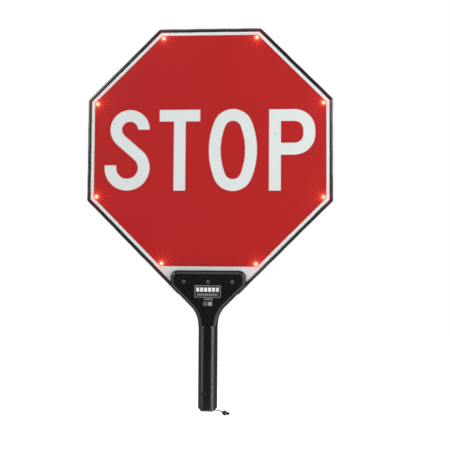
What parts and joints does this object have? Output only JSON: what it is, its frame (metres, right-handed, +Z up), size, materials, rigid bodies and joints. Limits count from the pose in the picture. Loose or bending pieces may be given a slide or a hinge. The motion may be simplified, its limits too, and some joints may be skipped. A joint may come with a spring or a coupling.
{
  "type": "stop slow paddle",
  "caption": "Hand-held octagonal stop/slow traffic paddle with lit corner lamps, black edge trim and a short moulded battery handle with push-button.",
  "frame": {"origin": "middle of the hand grip, on the handle's centre line", "axes": "+Z up the handle towards the sign, -Y out of the STOP face, +X to the right as the STOP face is read"},
  "size_m": [0.4602, 0.0338, 0.7214],
  "materials": {
    "panel_plastic": "moulded sheet",
    "core_foam": "rigid foam",
    "white_sheeting": "retroreflective sheeting",
    "red_film": "translucent overlay film",
    "orange_sheeting": "retroreflective sheeting",
    "black_film": "opaque overlay film",
    "trim_rubber": "satin rubber",
    "red_lens": "clear lamp lens, lit",
    "amber_lens": "clear lamp lens, lit",
    "ribbon": "polyimide ribbon",
    "handle_plastic": "moulded black plastic, light gloss",
    "screw_steel": "zinc-plated steel",
    "black_rubber": "moulded rubber",
    "jack_metal": "nickel-plated brass",
    "circuit_board": "solder mask",
    "component_black": "moulded packages",
    "cell_jacket": "printed cell sleeve",
    "shrink_wrap": "heat-shrink sleeve",
    "lead_insulation": "PVC insulation",
    "label_face": "printed label",
    "sticker_face": "printed sticker"
  },
  "bodies": {
    "handle": {"stop_panel": "panel_plastic", "slow_panel": "panel_plastic", "core_spacer": "core_foam", "stop_white_sheet": "white_sheeting", "stop_red_overlay": "red_film", "slow_orange_sheet": "orange_sheeting", "slow_black_overlay": "black_film", "edge_trim": "trim_rubber", "red_leds": "red_lens", "amber_leds": "amber_lens", "red_led_harness": "ribbon", "amber_led_harness": "ribbon", "front_handle_shell": "handle_plastic", "rear_handle_shell": "handle_plastic", "clamp_screws": "screw_steel", "clamp_nuts": "screw_steel", "shell_screws": "screw_steel", "cap_screw": "screw_steel", "end_cap": "handle_plastic", "end_cap_gasket": "black_rubber", "charge_jack": "jack_metal", "jack_nut": "jack_metal", "strap_ring": "black_rubber", "driver_board": "circuit_board", "board_components": "component_black", "board_screws": "screw_steel", "battery_cells": "cell_jacket", "battery_wrap": "shrink_wrap", "battery_leads": "lead_insulation", "switch_body": "jack_metal", "switch_nut": "jack_metal", "switch_bezel": "jack_metal", "switch_leads": "lead_insulation", "jack_leads": "lead_insulation", "label_plate": "label_face", "model_sticker": "sticker_face", "serial_sticker": "sticker_face"},
    "button": {"switch_button": "black_rubber"},
    "strap": {"tether_strap": "black_rubber"},
    "plug": {"dust_plug": "black_rubber"}
  },
  "joints": [
    {"name": "button_press", "type": "slide", "parent": "handle", "child": "button", "axis": [0.3007, 0.9537, 0], "range_m": [0, 0.0015], "stiffness_N_per_m": 800, "springref_m": -0.0006},
    {"name": "tether_bend", "type": "hinge", "parent": "handle", "child": "strap", "pos_m": [0.014, 0, -0.0809], "axis": [0, 1, 0], "range_deg": [-40, 95], "stiffness_Nm_per_rad": 0.004, "springref_deg": -1.6},
    {"name": "plug_bend", "type": "hinge", "parent": "strap", "child": "plug", "pos_m": [0.02589, 0, -0.08364], "axis": [0, 1, 0], "range_deg": [-55, 90], "stiffness_Nm_per_rad": 0.003, "springref_deg": -0.86}
  ]
}
